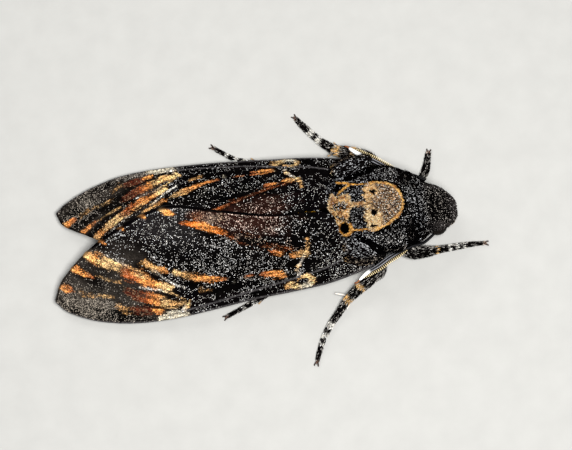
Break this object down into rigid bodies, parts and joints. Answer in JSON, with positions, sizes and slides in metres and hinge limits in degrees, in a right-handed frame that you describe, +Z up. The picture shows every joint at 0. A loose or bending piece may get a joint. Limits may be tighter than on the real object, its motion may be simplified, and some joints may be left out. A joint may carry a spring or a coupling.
{
  "type": "hawk moth",
  "caption": "Still, life-size death's-head hawk moth resting with folded forewings, on its six feet, as a museum model.",
  "frame": {"origin": "on the floor under the middle of the bounding box", "axes": "+X toward the head, +Y to the moth's left, +Z up"},
  "size_m": [0.076, 0.046, 0.0133],
  "materials": {
    "body_fur": "short black fur grizzled with white",
    "abdomen_fur": "ochre fur with black bands",
    "tegula_fur": "grey-white hair tufts",
    "forewing_scales": "matt black scales speckled white with orange and cream streaks",
    "hindwing_scales": "matt yellow scales with black bands",
    "leg_scales": "black scales with cream rings",
    "horn": "dark brown horn",
    "antenna": "grey to white above with a pale gold comb",
    "eye": "dark glossy compound eye"
  },
  "bodies": {
    "root": {"abdomen_1": "abdomen_fur", "abdomen_2": "abdomen_fur", "abdomen_3": "abdomen_fur", "abdomen_4": "abdomen_fur", "abdomen_5": "abdomen_fur", "antenna_left": "antenna", "antenna_right": "antenna", "claws_front_left": "horn", "claws_front_right": "horn", "claws_hind_left": "horn", "claws_hind_right": "horn", "claws_mid_left": "horn", "claws_mid_right": "horn", "eye_left": "eye", "eye_right": "eye", "forewing_left": "forewing_scales", "forewing_right": "forewing_scales", "head": "body_fur", "hindwing_left": "hindwing_scales", "hindwing_right": "hindwing_scales", "leg_front_left": "leg_scales", "leg_front_right": "leg_scales", "leg_hind_left": "leg_scales", "leg_hind_right": "leg_scales", "leg_mid_left": "leg_scales", "leg_mid_right": "leg_scales", "neck": "body_fur", "palp_left": "body_fur", "palp_right": "body_fur", "proboscis": "horn", "tegula_left": "tegula_fur", "tegula_right": "tegula_fur", "thorax": "body_fur"}
  },
  "joints": []
}
